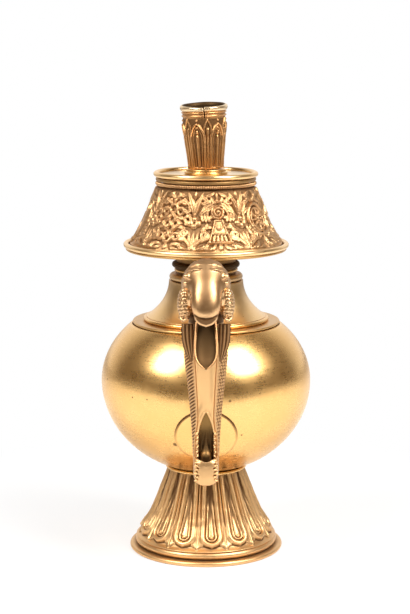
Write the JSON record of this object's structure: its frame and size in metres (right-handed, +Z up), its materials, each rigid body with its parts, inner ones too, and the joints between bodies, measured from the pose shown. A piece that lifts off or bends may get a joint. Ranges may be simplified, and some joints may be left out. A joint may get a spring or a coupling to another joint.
{
  "type": "tibetan bumpa vase",
  "caption": "Gilt copper ritual water vase with lotus foot, round bowl, chased neck skirt, makara spout and a lift-off lotus mouthpiece.",
  "frame": {"origin": "centre of the underside of the base plate, on the axis of the vase", "axes": "+Z up along the axis of the vase, the spout points along -Y, +X to the viewer's right"},
  "size_m": [0.104, 0.1405, 0.2223],
  "materials": {
    "gilt_body": "fire-gilt copper, polished with fine scratches and dark specks",
    "gilt_bright": "fire-gilt copper, burnished bright on rims and smooth strips",
    "gilt_chased": "fire-gilt copper, chased relief with dark recesses and coppery wear",
    "dark_patina": "gilt copper darkened with brown patina"
  },
  "bodies": {
    "vessel": {"base_plate": "gilt_body", "body_bowl": "gilt_body", "shoulder_flange": "gilt_body", "shoulder_step": "gilt_body", "neck_tube": "gilt_body", "skirt_plate": "gilt_body", "skirt_cover": "gilt_body", "foot_wire": "gilt_body", "neck_wire": "gilt_body", "spout_plaque": "gilt_body", "foot_lip": "gilt_bright", "bell_neck": "gilt_bright", "neck_ring": "gilt_bright", "skirt_rim": "gilt_bright", "spout_front_strip": "gilt_bright", "pouring_lip": "gilt_bright", "lotus_foot": "gilt_chased", "emblem_skirt": "gilt_chased", "beaded_wire": "gilt_chased", "spout_root": "gilt_chased", "spout_shaft": "gilt_chased", "makara_jaw": "gilt_chased", "dragon_head": "gilt_chased", "left_cheek_tuft": "gilt_chased", "right_cheek_tuft": "gilt_chased", "left_cheek_fin": "gilt_chased", "right_cheek_fin": "gilt_chased", "neck_upper_ring": "dark_patina", "makara_palate": "dark_patina"},
    "mouthpiece": {"mouth_plug": "gilt_body", "drip_dish": "gilt_bright", "dish_rim": "gilt_bright", "tube_collar": "gilt_body", "lotus_tube": "gilt_chased", "mouth_lip": "gilt_body"}
  },
  "joints": [
    {"name": "mouthpiece_lift", "type": "slide", "parent": "vessel", "child": "mouthpiece", "axis": [0, 0, 1], "range_m": [0, 0.05]}
  ]
}
